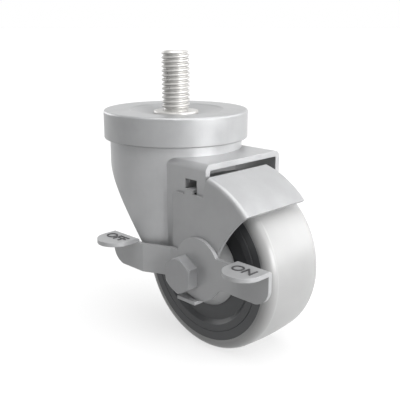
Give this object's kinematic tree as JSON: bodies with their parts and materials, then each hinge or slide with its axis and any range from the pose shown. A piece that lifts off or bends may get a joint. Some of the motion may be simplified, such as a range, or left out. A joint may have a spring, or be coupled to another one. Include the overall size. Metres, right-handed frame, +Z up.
{
  "type": "threaded stem castor",
  "caption": "Swivel castor with a threaded stem, drawn fork, ball-bearing wheel with soft tread and a side brake with two foot pedals.",
  "frame": {"origin": "centre of the cap's flat top face on the swivel axis, where the thread of the stem begins", "axes": "+Z up along the stem, +X from the swivel axis towards the wheel (trail), -Y the side with the brake lever and bolt head"},
  "size_m": [0.1107, 0.0799, 0.1271],
  "materials": {
    "zinc_plate": "bright zinc plate on pressed sheet",
    "stem_steel": "zinc plate on turned steel",
    "steel": "ground steel",
    "cover_plastic": "moulded, satin",
    "tread_rubber": "smooth pale grey thermoplastic rubber",
    "core_plastic": "moulded, fine grain"
  },
  "bodies": {
    "mount": {"threaded_stem": "stem_steel", "top_cap": "zinc_plate", "kingpin_sleeve": "steel", "lower_race": "steel", "kingpin_nut": "zinc_plate"},
    "fork": {"fork": "zinc_plate", "upper_balls": "steel", "lower_balls": "steel", "axle_bolt": "zinc_plate", "nut_washer": "zinc_plate", "axle_nut": "zinc_plate", "lever_bush": "steel", "axle_sleeve": "steel", "near_hub_cover": "cover_plastic", "far_hub_cover": "cover_plastic", "bearing_inner_rings": "steel"},
    "wheel": {"wheel_tread": "tread_rubber", "wheel_core": "core_plastic", "bearing_outer_rings": "steel", "bearing_balls": "steel"},
    "lever": {"brake_lever": "zinc_plate"},
    "shoe": {"brake_shoe": "zinc_plate"}
  },
  "joints": [
    {"name": "swivel", "type": "hinge", "parent": "mount", "child": "fork", "pos_m": [0, 0, 0], "axis": [0, 0, 1], "continuous": true},
    {"name": "wheel_spin", "type": "hinge", "parent": "fork", "child": "wheel", "pos_m": [0.03374, 0, -0.06321], "axis": [0, 1, 0], "continuous": true},
    {"name": "brake_pivot", "type": "hinge", "parent": "fork", "child": "lever", "pos_m": [0.03374, 0, -0.06321], "axis": [0, 1, 0], "range_deg": [0, 28]},
    {"name": "shoe_slide", "type": "slide", "parent": "fork", "child": "shoe", "axis": [0, 0, -1], "range_m": [0, 0.00358]}
  ],
  "couplings": [
    {"joint": "shoe_slide", "follows": "brake_pivot", "m_per_rad": 0.007325}
  ]
}
